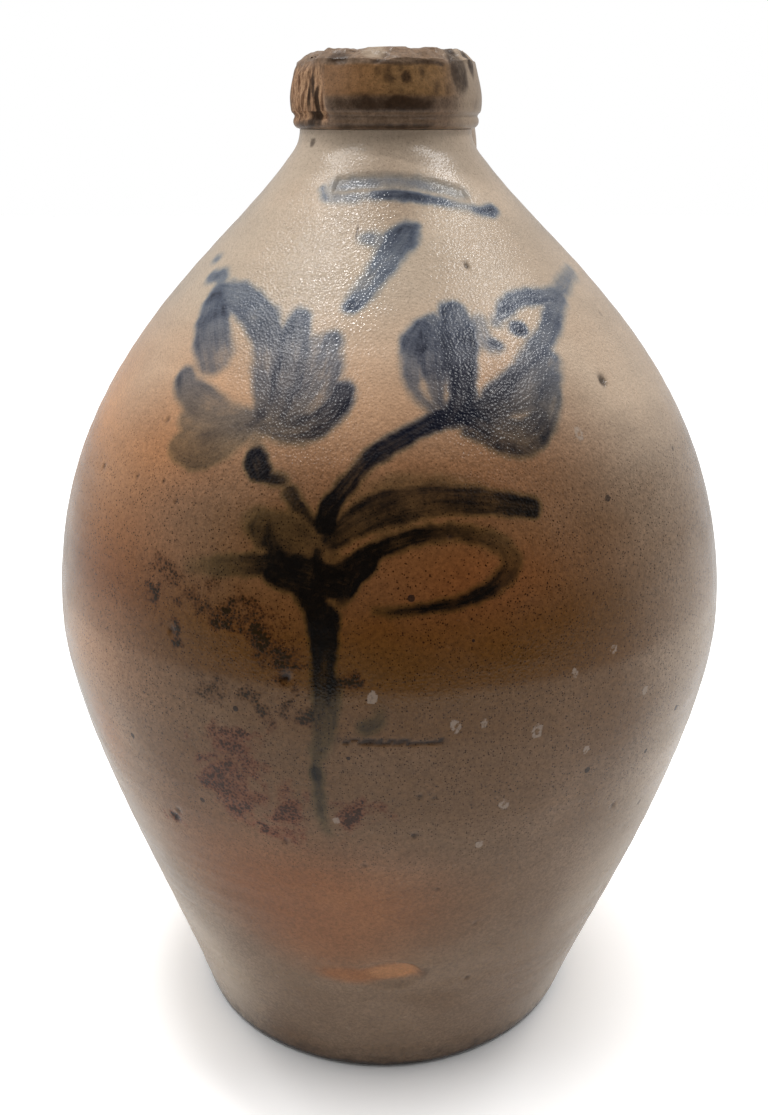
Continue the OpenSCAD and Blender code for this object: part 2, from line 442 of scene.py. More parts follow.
def use_group(tree, name, **values):
    inputs = {label.replace("_", " "): value for label, value in values.items()}
    return add(tree, "ShaderNodeGroup", inputs, node_tree=bpy.data.node_groups[name]).outputs


# Kiln tones: grey clay, paler where the salt lay thick, ochre where it was thin, tinted by flame.
# Pale also carries a painted reflection on the sides and a painted highlight on the collar's rim, and
# ochre a painted shade on the front. Bare clay is fibrous where it tore. A dark brown lies on dark
# marks in the glaze, and it is also painted shade at the foot and under the collar's swell and bead.
bare_dark = (0.13, 0.06, 0.028, 1)
bare_light = (0.46, 0.27, 0.15, 1)
dark_brown_and_shade = (0.038, 0.019, 0.009, 1)

tree, put, out = new_group(
    "Kiln tones", {"Vector": "Place", "Color": "Grey, Pale, Ochre, Scorch tint",
                   "Float": "Pale mask, Ochre mask, Scorch mask, Dusk mask, Bare mask"}, {"Color": "Color"})
drift = minus(tree, mottle(tree, put["Place"], 38, 4), 0.5)
pale_here, ochre_here, scorch_here = (
    plus(tree, put[label + " mask"], times(tree, drift, sway), True)
    for label, sway in (("Pale", 0.5), ("Ochre", -0.4), ("Scorch", 0.3)))
tone = blend(tree, pale_here, put["Grey"], put["Pale"])
tone = blend(tree, ochre_here, tone, put["Ochre"])
tone = blend(tree, scorch_here, tone, blend(tree, 1.0, tone, put["Scorch tint"], "MULTIPLY"))
fibres = mottle(tree, stretch(tree, put["Place"], (1, 1, 0.14)), 900, 4, 0.7)
tone = blend(tree, put["Bare mask"], tone, blend(tree, ease(tree, fibres, 0.36, 0.6), bare_dark, bare_light))
smoky = times(tree, minus(tree, mottle(tree, put["Place"], 260, 5, 0.65), 0.5), 0.9)
# The dusk mask lays dark brown on dark marks, and as painted shade at the foot and under the collar
dark_and_shade_here = ease(tree, plus(tree, put["Dusk mask"], smoky), 0.12, 0.8)
dark_and_shade_here = times(tree, dark_and_shade_here, ease(tree, put["Dusk mask"], 0, 0.2, 0, 0.96))
tone = blend(tree, dark_and_shade_here, tone, dark_brown_and_shade)
grainy = ease(tree, put["Pale mask"], 0.2, 0.9, 0.24, 0.09)
fine = ease(tree, mottle(tree, put["Place"], 1000, 4, 0.8), 0.32, 0.68, -1, 1)
rings = mottle(tree, stretch(tree, put["Place"], (9, 9, 120)), 1.0, 3)
bands = ease(tree, rings, 0.3, 0.7, 0.96, 1.04)
grain = times(tree, plus(tree, 1.0, times(tree, grainy, fine)), bands)
grained = add(tree, "ShaderNodeVectorMath", {0: tone, "Scale": grain}, operation="SCALE")
plug(tree, out["Color"], grained.outputs[0])


def scatter(tree, vector, scale):
    # How far the nearest speck is, and two chances of its own
    speck = cells(tree, vector, scale)
    chances = add(tree, "ShaderNodeSeparateColor", {0: speck["Color"]}).outputs
    return speck["Distance"], chances[0], chances[1]


# Iron specks: fine dark pepper all over, and fewer larger blisters
tree, put, out = new_group("Iron specks", {"Vector": "Place", "Float": "Amount"},
                           {"Float": "Pepper, Blister"})
drifted = minus(tree, mottle(tree, put["Place"], 75, 4, 0.7), 0.5)
pepper = []
for scale, least, most in ((2000, 0.15, 0.42), (820, 0.05, 0.2)):
    far, shows, grows = scatter(tree, put["Place"], scale)
    chosen = ease(tree, plus(tree, shows, times(tree, drifted, 1.2)), 0.44, 0.78)
    near = minus(tree, ease(tree, grows, 0, 1, least, most), far)
    pepper.append(times(tree, ease(tree, near, -0.06, 0.08), chosen))
plug(tree, out["Pepper"], times(tree, calc(tree, "MAXIMUM", *pepper), put["Amount"]))
far, shows, grows = scatter(tree, put["Place"], 150)
spot = calc(tree, "LESS_THAN", far, ease(tree, grows, 0, 1, 0.05, 0.13))
plug(tree, out["Blister"], times(tree, times(tree, spot, ease(tree, shows, 0.8, 0.84)), put["Amount"]))

# Kiln crust: drippings that baked on in ragged scabs, brown above and redder low down
tree, put, out = new_group("Kiln crust", {"Vector": "Place", "Color": "Color", "Float": "Mask"},
                           {"Color": "Color", "Float": "Scab"})
ragged = times(tree, minus(tree, mottle(tree, put["Place"], 520, 8, 0.85), 0.5), 1.6)
grit = times(tree, minus(tree, 0.42, cells(tree, put["Place"], 1300)["Distance"]), 0.8)
reach = plus(tree, put["Mask"], plus(tree, ragged, grit))
veil = ease(tree, put["Mask"], 0.0, 0.5)
stain = times(tree, ease(tree, reach, 0.05, 0.55), ease(tree, put["Mask"], 0.0, 0.25))
scab = times(tree, ease(tree, reach, 0.44, 0.62), ease(tree, put["Mask"], 0.02, 0.2))
height = add(tree, "ShaderNodeSeparateXYZ", {0: put["Place"]}).outputs[2]
low_down = ease(tree, height, 126 * mm, 136 * mm, 1, 0)
crusted = put["Color"]
# Each coat: where it lies, how strong, how it is laid, its colour high up and its colour low down
for coat, strength, how, brown, red in (
        (veil, 0.8, "MULTIPLY", (0.84, 0.76, 0.7, 1), (1.05, 0.76, 0.72, 1)),
        (stain, 0.9, "MULTIPLY", (0.44, 0.37, 0.22, 1), (0.64, 0.45, 0.38, 1)),
        (scab, 0.95, "MIX", (0.018, 0.009, 0.001, 1), (0.034, 0.012, 0.004, 1))):
    crusted = blend(tree, times(tree, coat, strength), crusted, blend(tree, low_down, brown, red), how)
plug(tree, out["Color"], crusted)
plug(tree, out["Scab"], scab)

# Cobalt: a wash that lets the clay through where it is thin and turns blue-black where it is thick.
# Across and Along tell how far a point lies from its stroke's middle and start, for the brush's hairs.
ink_steps = [(0.0, (1, 1, 1, 1)), (0.25, (0.65, 0.75, 0.88, 1)), (0.5, (0.3, 0.42, 0.66, 1)),
             (0.7, (0.155, 0.235, 0.43, 1)), (0.88, (0.06, 0.09, 0.165, 1)), (1.0, (0.014, 0.02, 0.04, 1))]
moss_tint = (0.93, 1.02, 0.82, 1)
thick_blue = (0.012, 0.018, 0.045, 1)
thick_black = (0.005, 0.005, 0.005, 1)

tree, put, out = new_group(
    "Cobalt wash", {"Vector": "Place", "Color": "Color", "Float": "Load, Across, Along, Earthy"},
    {"Color": "Color"})
hairs = add(tree, "ShaderNodeCombineXYZ", {0: times(tree, put["Across"], 1.5),
                                           1: times(tree, put["Along"], 0.09)})
streak = mottle(tree, hairs.outputs[0], 1.0, 3, 0.6)
frayed = mottle(tree, put["Place"], 640, 3, 0.6)
load = times(tree, put["Load"], ease(tree, streak, 0.32, 0.68, 0.93, 1.06))
load = times(tree, load, ease(tree, frayed, 0.3, 0.7, 0.94, 1.06), True)
ink = add(tree, "ShaderNodeValToRGB", {0: load})
while len(ink.color_ramp.elements) < len(ink_steps):
    ink.color_ramp.elements.new(0.5)
for stop, (place, colour) in zip(ink.color_ramp.elements, ink_steps):
    stop.position = place
    stop.color = colour
vivid = ease(tree, put["Earthy"], 0, 1, 1.0, 0.35)
dyed = add(tree, "ShaderNodeHueSaturation", {"Color": ink.outputs[0], "Saturation": vivid}).outputs[0]
mossy = blend(tree, ease(tree, load, 0.0, 0.5), dyed, blend(tree, 1.0, dyed, moss_tint, "MULTIPLY"))
stained = blend(tree, 1.0, put["Color"], blend(tree, put["Earthy"], dyed, mossy), "MULTIPLY")
thick = blend(tree, put["Earthy"], thick_blue, thick_black)
plug(tree, out["Color"], blend(tree, ease(tree, load, 0.55, 1.0, 0, 0.4), stained, thick))

# Salt peel: the fine orange-peel pebbling of a salt glaze
tree, put, out = new_group("Salt peel", {"Vector": "Place", "Float": "Pebbles"}, {"Float": "Height"})
pebble = add(tree, "ShaderNodeTexVoronoi", {"Vector": put["Place"], "Scale": 1550, "Smoothness": 0.35},
             feature="SMOOTH_F1").outputs["Distance"]
ripple = times(tree, mottle(tree, put["Place"], 420, 3), 0.4)
plug(tree, out["Height"], plus(tree, times(tree, pebble, put["Pebbles"]), ripple))

# The glaze itself: the same for every piece but for its clay colours and how rough it came out
scorch_tint = (1.3, 0.82, 0.5, 1)
iron_brown = (0.024, 0.007, 0.001, 1)
chalk_white = (0.4, 0.32, 0.26, 1)
pit_black = (0.016, 0.009, 0.007, 1)
slip_brown = (0.045, 0.018, 0.009, 1)
peel_height = 0.115 * mm
gloss = 0.28


def read_mask(tree, name):
    return add(tree, "ShaderNodeAttribute", attribute_name=name).outputs["Fac"]


def salt_glaze(name, grey, pale, ochre, rough):
    material = bpy.data.materials.new(name)
    tree = fresh_tree(material)
    place = add(tree, "ShaderNodeTexCoord").outputs["Object"]
    masks = {label + "_mask": read_mask(tree, label.lower())
             for label in ("Pale", "Ochre", "Scorch", "Dusk", "Bare")}
    toned = use_group(tree, "Kiln tones", Place=place, Grey=grey, Pale=pale, Ochre=ochre,
                      Scorch_tint=scorch_tint, **masks)["Color"]
    specks = use_group(tree, "Iron specks", Place=place, Amount=read_mask(tree, "iron"))
    speckled = blend(tree, specks["Pepper"], toned, iron_brown)
    crusted = use_group(tree, "Kiln crust", Place=place, Color=speckled, Mask=read_mask(tree, "crust"))
    colour = use_group(tree, "Cobalt wash", Place=place, Color=crusted["Color"],
                       Load=read_mask(tree, "cobalt"), Across=read_mask(tree, "brush_across"),
                       Along=read_mask(tree, "brush_along"), Earthy=read_mask(tree, "earthy"))["Color"]
    chalk = read_mask(tree, "chalk")
    powdery = times(tree, minus(tree, mottle(tree, place, 520, 5, 0.8), 0.5), 3.2)
    chalked = ease(tree, plus(tree, chalk, powdery), 0.5, 1.0, 0, 0.6)
    pitted = calc(tree, "MAXIMUM", specks["Blister"], read_mask(tree, "pit"), True)
    colour = blend(tree, times(tree, chalked, ease(tree, chalk, 0, 0.3)), colour, chalk_white)
    colour = blend(tree, times(tree, pitted, 0.85), colour, pit_black)
    colour = blend(tree, read_mask(tree, "slip"), colour, slip_brown)
    pebbles = read_mask(tree, "pebbles")
    sheen = ease(tree, mottle(tree, place, 90, 3), 0.3, 0.7, rough - 0.04, rough + 0.06)
    sheen = minus(tree, sheen, times(tree, pebbles, 0.06))
    dull = times(tree, masks["Bare_mask"], 0.55)
    peel = use_group(tree, "Salt peel", Place=place, Pebbles=pebbles)["Height"]
    relief = plus(tree, times(tree, crusted["Scab"], 0.09), times(tree, pitted, -0.8))
    bump = add(tree, "ShaderNodeBump", {"Distance": peel_height, "Height": plus(tree, peel, relief)})
    skin = add(tree, "ShaderNodeBsdfPrincipled", {
        "Base Color": colour, "Roughness": plus(tree, sheen, dull, True), "Specular IOR Level": gloss,
        "Normal": bump.outputs[0]})
    add(tree, "ShaderNodeOutputMaterial", {"Surface": skin.outputs[0]})
    return material


grey_clay = (0.195, 0.118, 0.067, 1)
pale_tan = (0.53, 0.42, 0.315, 1)
ochre_brown = (0.124, 0.053, 0.012, 1)
body_glaze = salt_glaze("body_salt_glaze", grey_clay, pale_tan, ochre_brown, 0.24)

# Rusty scabs and kiln drippings left of the brushed stem, each (middle, reach, how thick)
crust_patches = [((-37.6, 157), (2.4, 2.8), 0.8), ((-35, 163), (5, 4.4), 0.5),
                 ((-32.5, 160), (2.6, 3), 0.5), ((-33.6, 150), (2, 2.2), 0.9),
                 ((-25, 159.5), (5.4, 5), 0.6), ((-24.6, 155), (3, 2.6), 0.78), ((-20, 158), (4, 4), 0.5),
                 ((-18.4, 153.4), (4.4, 4), 0.78), ((-14.4, 150), (4, 3.8), 0.78),
                 ((-13.4, 146), (3.2, 3.6), 0.72), ((-6.2, 143), (3, 4), 0.72),
                 ((-12.2, 136), (2.8, 4.6), 0.68), ((-18.6, 136), (2.6, 4.2), 0.58),
                 ((-26, 138), (4, 3.4), 0.45), ((-23.4, 127), (3.4, 3.2), 0.6),
                 ((-23, 121), (4.8, 5.4), 0.62), ((-28.6, 119.5), (2, 2.2), 0.58),
                 ((-25.4, 113), (4, 5.4), 0.64), ((-23.4, 106), (4, 5.4), 0.7),
                 ((-21.6, 111), (2.6, 9), 0.45), ((-14.6, 107.5), (3.4, 6.6), 0.68),
                 ((-5, 106.4), (3.6, 4.8), 0.68), ((-20.4, 99.6), (2.8, 1.8), 0.8),
                 ((-17, 99), (4, 3), 0.45), ((-38.6, 93.5), (2, 2.6), 0.85)]
# Pale blisters where salt drops dried, each (degrees, height, width) in mm
salt_drops = [(9, 133, 3.0), (21, 129, 3.4), (13, 133, 1.8), (27, 142, 2.0), (34, 145, 2.0),
              (-2.5, 140.5, 2.4), (17, 109, 2.8), (14, 97, 2.0), (35, 194, 2.6), (-8, 106, 1.8),
              (30, 120, 2.0), (41, 131, 2.2)]
# Clouds of each tone, each (how much, middle, reach, softness) in degrees and mm
pale_clouds = [(0.5, (-48, 26), (26, 30), 1.0), (-0.22, (8, 252), (30, 18), 0.9),
               (-0.22, (5, 241), (13, 10), 0.9), (-0.45, (-52, 198), (20, 18), 0.9),
               (-0.12, (28, 200), (26, 20), 0.9), (0.15, (44, 58), (20, 30), 1.0),
               (-0.24, (-8, 246), (34, 16), 0.9), (-0.16, (10, 226), (24, 14), 0.9),
               (0.3, (1, 46.4), (7, 4.2), 0.5)]
ochre_clouds = [(0.42, (-52, 158), (28, 21), 0.9), (0.2, (18, 188), (24, 14), 0.9),
                (0.3, (0, 134), (26, 10), 0.8), (0.2, (-2, 190), (18, 12), 0.9)]
scorch_clouds = [(1.1, (-12, 74), (38, 34), 1.0), (0.9, (-8, 45), (11, 5), 0.8),
                 (1, (1, 46.4), (7.5, 4.6), 0.5), (0.4, (-14, 54), (24, 16), 1.0),
                 (0.55, (4, 168), (44, 26), 0.9), (0.5, (-50, 162), (26, 22), 0.9),
                 (0.3, (14, 166), (16, 12), 0.9), (-0.3, (-52, 198), (20, 16), 0.9),
                 (0.35, (-34, 92), (34, 44), 1.0), (0.6, (-53, 110), (10, 18), 1.0),
                 (0.6, (-52, 138), (26, 32), 1.0)]
dark_marks = [(0.55, (-53, 257.6), (4.5, 1.6), 0.6), (0.5, (-10.3, 237.8), (0.7, 2.4), 0.5),
               (0.46, (7.4, 46.5), (2.2, 5), 0.8)]


def clouds(turn, z, rows):
    return sum(much * patch(turn, z, at, reach, soft) for much, at, reach, soft in rows)


def tone_the_body(piece, where):
    turn, z, true, shown = where
    left, right = flank(-turn, 30, 60), flank(turn, 30, 62)
    # Paler on the shoulder where the salt lay thick. It is also paler on both sides as seen from the eye,
    # partly paler glaze and partly a painted reflection of the white tent at the edges.
    pale = smooth(z, 174, 218) + 0.74 * np.maximum(left, right) * (1 - smooth(z, 150, 185) * 0.5)
    pale += 0.08 * (1 - smooth(z, 50, 72)) + 0.12 * flank(turn, 30, 50) * smooth(z, 174, 192)
    pale += 0.14 * flank(turn, 22, 40) * between(z, 45, 60, 105, 125)
    pale -= 0.3 * right * between(z, 135, 150, 162, 176)
    pale += 0.25 * flank(-turn, 20, 42) * smooth(z, 152, 176) + clouds(turn, z, pale_clouds)
    # Ochre gathers on the front. It is strongest just above an edge at 139.5 to 143.5 mm and fades upward,
    # partly flashed glaze and partly painted shade where the front faces the dim room. The greyer, lighter
    # clay below that edge is partly a painted reflection of the white table.
    ochre = (0.42 * smooth(z, 88, 120) + 0.58 * smooth(z, 139.5, 143.5)) * (1 - smooth(z, 172, 202))
    ochre *= (1 - 0.75 * flank(turn, 26, 52)) * (1 - 0.6 * flank(-turn, 24, 48))
    ochre = ochre * (1 - 0.36 * smooth(z, 152, 167)) + clouds(turn, z, ochre_clouds)
    scorch = 0.7 * flank(-turn, 24, 46) * between(z, 150, 182, 186, 222) + clouds(turn, z, scorch_clouds)
    scorch += 0.55 * between(z, 174, 192, 198, 228) * (1 - flank(turn, 16, 48)) * (1 - 0.6 * left)
    scorch += 0.1 * flank(turn, 30, 50) * smooth(z, 180, 195) * (1 - 0.5 * smooth(z, 215, 240))
    # Darker towards the foot and darkest at its very edge: painted shade where the jug stands on the table
    dusk = 0.42 * (1 - smooth(z, 0, 18)) + 0.4 * (1 - smooth(z, 0.5, 4))
    dusk += 0.16 * patch(turn, z, (-44, 150), (34, 12), 1.0)
    for mark in dark_marks:
        dusk = np.maximum(dusk, clouds(turn, z, [mark]))
    chalk = np.zeros(len(turn))
    r = np.hypot(true[:, 0], true[:, 1])
    for at, height, width in salt_drops:
        far = np.hypot(np.radians(turn - at) * r, (z - height) * 0.8)
        chalk += np.exp(-((far - width * 0.36) / 0.45) ** 2) + 0.4 * (far < width * 0.3)
    crust = np.zeros(len(turn))
    near = np.flatnonzero((np.abs(turn + 22) < 26) & (z > 90) & (z < 175))
    spot = true[near]
    turn_near = turn[near] + 3.2 * wander(spot, 7.0, 21) + 2.2 * wander(spot, 2.6, 22)
    z_near = z[near] + 5 * wander(spot, 7.0, 23) + 3.2 * wander(spot, 2.6, 24)
    for at, reach, much in crust_patches:
        wide = (reach[0] * 1.45, reach[1] * 1.4)
        crust[near] = np.maximum(crust[near], much * patch(turn_near, z_near, at, wide, 0.95))
    pitted = pit_depth(turn, z, true) * 2.2 + 2.6 * seam_line(turn, z, true)
    stamp_masks(
        piece, pale=np.clip(pale, 0, 1) * shown, ochre=np.clip(ochre, 0, 1) * shown,
        scorch=np.clip(scorch, 0, 1) * shown, dusk=dusk * shown, crust=crust * shown,
        iron=(0.24 + 0.76 * between(z, 70, 110, 172, 200)) * shown,
        pebbles=(0.3 + 0.7 * smooth(z, 160, 195)) * (1 - 0.6 * smooth(z, 242, 252)) * shown,
        pit=np.clip(pitted, 0, 1) * shown, chalk=chalk * shown, earthy=1 - smooth(z, 178, 210),
        slip=(1 - shown) * (z > 3))


tone_the_body(lower_body, lower_where)
lower_body.data.materials.append(body_glaze)
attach(lower_body, "root")
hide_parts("lower_body")

# The upper half: the second bowl, thrown upside down, turned over and luted rim to rim on the
# first, then drawn in to the shoulder and the neck. A narrow bar is pressed in under the neck.
neck_foot = np.array([27.6, 252.0])
collar_foot_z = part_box("neck_collar")[0][2] / mm
rim_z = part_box("neck_collar")[1][2] / mm
neck_top = np.array([23.1, collar_foot_z])
spigot_r = 18.5
spigot_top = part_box("upper_body")[1][2] / mm
mouth_r = 14
shoulder_lean = math.radians(39)
over_belly_pull = 67.1
shoulder_pull = 31.7
cove_pull = 3.6
shoulder_wall = 10.5
shoulder_step = 0.8
throat_top = np.array([mouth_r, 258])
throat_foot = np.array([mouth_r, 252.8])

shoulder_slope = leaning(shoulder_lean, 1) * [-1, 1]
shoulder = bezier(belly, belly + [0, over_belly_pull], neck_foot - shoulder_slope * shoulder_pull, neck_foot)
cove = bezier(neck_foot, neck_foot + shoulder_slope * cove_pull, neck_top - [0, cove_pull], neck_top)
upper_skin = evenly(np.concatenate([shoulder, cove[1:]]), shoulder_step)
inner_top = neck_foot - shoulder_wall
upper_inside = evenly(bezier(inner_top, inner_top - shoulder_slope * shoulder_pull,
                             inner_belly + [0, over_belly_pull], inner_belly), inside_step)
spigot = [(spigot_r, collar_foot_z), (spigot_r, spigot_top), (mouth_r, spigot_top), throat_top, throat_foot]

# The pressed bar's middle line as (degrees, height), and where its ends fade in and out, in degrees.
# Its half height, its depth, and how far its sides slope inward and outward of that height, in mm.
bar_line = [(-24, 248.0), (-12, 248.9), (0, 249.1), (12, 248.7), (24, 247.6), (36, 245.8)]
bar_ends = (-26, -23.5, 36, 38.5)
bar_half_height = 1.7
bar_depth = 0.55
bar_side = (0.4, 0.5)


def bar_dent(turn, z):
    off = np.abs(z - np.interp(turn, *zip(*bar_line)))
    side = smooth(off, bar_half_height - bar_side[0], bar_half_height + bar_side[1])
    return bar_depth * between(turn, *bar_ends) * (1 - side)


upper_body, upper_where = turn_on_wheel(
    "upper_body_clay",
    [(upper_skin, 1), (spigot, 0), (upper_inside, 0), (groove(-1), 0)],
    lambda turn, z, true: body_dent(turn, z, true) + bar_dent(turn, z), closed=True)
tone_the_body(upper_body, upper_where)
upper_body.data.materials.append(body_glaze)
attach(upper_body, "root")
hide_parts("upper_body")

# The collar: a thick ring of clay luted on the neck and tooled to a swelling side over a small
# bead. Its glaze is ochre, darker under the swell and over the bead, partly pooled glaze and partly
# painted shade, with a painted shadow line where it meets the neck. Its left front is knocked to bare clay.
bead = 1.9
bead_r = 24.7
collar_r = 25.4
swell_z = collar_foot_z + 7.4
collar_top = np.array([23.8, rim_z - 2.7])
collar_pull = 2.7
rim_inset = 3.8
rim_round = 1
mouth_round = 2
bore_top = 272
# Points on each curve of the outline, and how far apart they lie once spread evenly
curve_points = 12
collar_step = 0.34


def arc(centre, radius, start, stop):
    turns = np.radians(np.linspace(start, stop, curve_points))
    return np.array(centre) + radius * np.stack([np.cos(turns), np.sin(turns)], 1)


collar_skin = evenly(np.concatenate([
    arc((bead_r - bead, collar_foot_z + bead), bead, -90, 40),
    bezier((bead_r, collar_foot_z + 2 * bead), (collar_r, collar_foot_z + 2 * bead),
           (collar_r, swell_z - bead / 2), (collar_r, swell_z), curve_points),
    bezier((collar_r, swell_z), (collar_r, swell_z + collar_pull), collar_top - [0, collar_pull], collar_top,
           curve_points),
    arc((collar_top[0] - rim_inset, rim_z - rim_round), rim_round, 60, 90),
    arc((mouth_r + mouth_round, rim_z - mouth_round), mouth_round, 90, 180)]), collar_step)
collar_columns = np.concatenate([np.arange(-90, 90, 0.8), np.arange(90, 270, 1.6)])


def collar_break(turn, z):
    # The knocked front left: its right edge slants from the rim down to the bead
    edge = -37 + 3.5 * (272 - z) / 8
    return smooth(edge - turn, 0, 6) * (1 - smooth(-turn, 84, 92)) * between(z, 260.5, 264, 274, 278)


def collar_dent(turn, z, true):
    fibres = wander(true / [1, 1, 5.0], 1.1, 5.0)
    lumps = wander(true, 5.0, 2.0)
    broken = collar_break(turn, z) * (0.75 + 0.35 * fibres + 0.5 * lumps)
    chips = 0.4 + 1.1 * wander(true, 7.0, 14.0) + 0.6 * wander(true, 2.2, 15.0)
    rim = smooth(z, 274.6, 278.4) * np.clip(chips, 0, 1.5)
    corner = 1.8 * smooth(z, 273.5, 278) * patch(turn, z, (-70, 279), (26, 9), 0.6)
    return 0.08 * (1 + lumps) + broken + rim + corner


collar_bore = [(mouth_r, bore_top), (mouth_r, spigot_top), (spigot_r, spigot_top),
               (spigot_r, collar_foot_z)]
neck_collar, collar_where = turn_on_wheel(
    "neck_collar_clay", [(collar_skin, 1), (collar_bore, 0)], collar_dent, collar_columns, True)


def tone_the_collar(piece, where):
    turn, z, true, shown = where
    panel = between(turn, -44, -41, 30, 50) * between(z, 267.4, 269.4, 275.4, 276.4)
    middle = between(turn, -42, -32, 80, 140) * (1 - 0.6 * smooth(turn, 14, 60))
    # Under the swell and over the bead the glaze is darker, partly pooled glaze and partly painted shade, and
    # the bead is darker too. The thin dark line below the bead is a painted shadow where the collar meets the
    # neck.
    pooled = (0.55 + 0.3 * np.exp(-((turn - 4) / 22) ** 2)) * middle * between(z, 263.6, 266, 267, 270.8)
    low = 0.34 * middle * (1 - smooth(z, 264.5, 266))
    line = 0.65 * (1 - smooth(np.abs(z - 261.4), 0.2, 1.4)) * between(turn, -42, -24, 20, 46)
    lip_edge = np.abs(z - 276 + wander(true, 5.0, 35.0))
    lip = 0.55 * (1 - smooth(lip_edge, 0.2, 1.0)) * between(turn, -14, -6, 34, 44)
    scorched = 0.62 * patch(turn, z, (-30, 277.4), (14, 3), 0.8)
    smudge = 0.75 * patch(turn, z, (12, 272.8), (6, 3), 0.8)
    drips = 0.66 * np.maximum(patch(turn, z, (50, 275), (11.5, 8.5), 0.5),
                              patch(turn, z, (66, 277), (6.5, 6), 0.6))
    torn = 0.5 + 1.6 * wander(true / [1, 1, 4], 1.6, 33.0)
    cracks = torn * patch(turn, z, (-47, 268), (11, 9), 0.7)
    cracks += 0.6 * patch(turn, z, (-58, 262), (22, 2.4), 0.7)
    streaky = panel * (0.14 + 0.12 * smooth(turn, -12, 6)) * (1 + 2.4 * wander(true / [1, 1, 1.6], 2.2, 31.0))
    # Paler on the right side, and a painted highlight on the front of the rim
    pale = (1 - panel) * 0.2 + 0.75 * flank(turn, 36, 56) + 0.9 * patch(turn, z, (-8, 279.4), (11, 2), 0.6)
    pale += 0.5 * panel * (1 - smooth(turn, -26, -6))
    stamp_masks(
        piece, pale=np.clip(pale, 0, 1) * shown,
        ochre=np.clip(panel * (0.62 + 0.3 * smooth(turn, -34, 0)), 0, 1) * shown,
        scorch=np.clip(0.3 * panel * (1 - smooth(turn, -30, 10)), 0, 1) * shown,
        dusk=np.maximum.reduce([pooled, low, line, lip, scorched, smudge, drips, cracks, streaky]) * shown,
        crust=0.3 * smudge * shown, iron=0.35 * shown, pebbles=0.4 * shown,
        bare=collar_break(turn, z) * shown, slip=1 - shown)


tone_the_collar(neck_collar, collar_where)
collar_grey = (0.185, 0.112, 0.068, 1)
collar_pale = (0.37, 0.28, 0.2, 1)
collar_ochre = (0.235, 0.125, 0.047, 1)
collar_glaze = salt_glaze("collar_salt_glaze", collar_grey, collar_pale, collar_ochre, 0.34)
neck_collar.data.materials.append(collar_glaze)
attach(neck_collar, "root")
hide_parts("neck_collar")

# The handle: a strap pulled from a lump of clay with wet fingers, which leaves a channel down its
# back, and luted to the collar and the shoulder, where its ends are thumbed out.
handle_top = np.array([collar_r, rim_z - 12])
handle_foot_z = 201
root_depth = 5.4
strap_wide = 27
strap_thick = 9
# It spreads and thickens toward its roots, and is drawn in again at its very ends
top_spread = 8
landing_spread = 9
root_thicker = 4
top_drawn_in = 12
landing_drawn_in = 16
landing_thinned = 9
# How steeply the strap leaves the collar and comes down on the shoulder, and how far it holds so
top_lean = math.radians(80)
top_pull = 25
landing_lean = math.radians(10)
landing_pull = 50
strap_rings = 150
strap_points = 64
corner_share = 0.66
channel_depth = 1.3
# The channel's breadth as a share of the strap's half width
channel_share = 0.42
# How much the strap flares where it comes this near the clay it is luted to
root_flare = 0.22
flare_reach = 9
# How far its roots are let into the collar and the shoulder
root_sunk = 1.8


def shoulder_r(z):
    return np.interp(z, upper_skin[:, 1], upper_skin[:, 0])


def body_r(z):
    collar_side = np.interp(z, collar_skin[:, 1], collar_skin[:, 0])
    return np.where(z > collar_foot_z, collar_side, shoulder_r(z))


strap_start = handle_top - [root_depth, 0]
strap_end = np.array([shoulder_r(handle_foot_z) - root_depth, handle_foot_z])
strap_line = bezier(strap_start, strap_start + leaning(top_lean, top_pull + root_depth),
                    strap_end + leaning(landing_lean, landing_pull), strap_end, strap_rings)
strap_ahead = np.gradient(strap_line, axis=0)
strap_ahead /= np.hypot(*strap_ahead.T)[:, None]
strap_out = np.stack([-strap_ahead[:, 1], strap_ahead[:, 0]], 1)
run = np.linspace(0, 1, strap_rings)
near_top = np.clip(1 - run * 3, 0, None) ** 2
near_foot = np.clip(1 - (1 - run) * 4, 0, None) ** 2
strap_w = strap_wide + top_spread * (1 - run) ** 3 + landing_spread * near_foot
strap_w -= top_drawn_in * (1 - smooth(run, 0, 0.06)) + landing_drawn_in * smooth(run, 0.95, 1)
strap_t = strap_thick + root_thicker * (near_top + near_foot) - landing_thinned * smooth(run, 0.9, 1)
strap_skin = []
for i in range(strap_rings):
    for j in range(strap_points):
        angle = 2 * math.pi * j / strap_points
        across = math.copysign(abs(math.cos(angle)) ** corner_share, math.cos(angle))
        outward = math.copysign(abs(math.sin(angle)) ** corner_share, math.sin(angle))
        channel = channel_depth * math.exp(-(across / channel_share) ** 2) if outward > 0 else 0
        y, z = strap_line[i] + strap_out[i] * (outward * strap_t[i] / 2 - channel)
        strap_skin.append((across * strap_w[i] / 2, y, z))
strap_skin = np.array(strap_skin)
far = np.hypot(strap_skin[:, 0], strap_skin[:, 1]) - body_r(strap_skin[:, 2])
centre = np.repeat(np.stack([np.zeros(strap_rings), strap_line[:, 0], strap_line[:, 1]], 1), strap_points, 0)
flare = 1 + root_flare * np.clip(1 - far / flare_reach, 0, 1) ** 1.6
strap_skin = centre + (strap_skin - centre) * flare[:, None]
ridges = 0.35 + 0.25 * wander(strap_skin / [1, 6, 6], 1.6, 4.0) + 0.3 * wander(strap_skin, 9.0, 8.0)
outward = strap_skin - centre
strap_skin -= outward * (ridges / np.linalg.norm(outward, axis=1))[:, None]
level = np.hypot(strap_skin[:, 0], strap_skin[:, 1])
sunk = body_r(strap_skin[:, 2]) - root_sunk
strap_skin[:, :2] *= np.where(level < sunk, sunk / np.maximum(level, 1), 1.0)[:, None]
points = list(strap_skin * mm)
faces = []
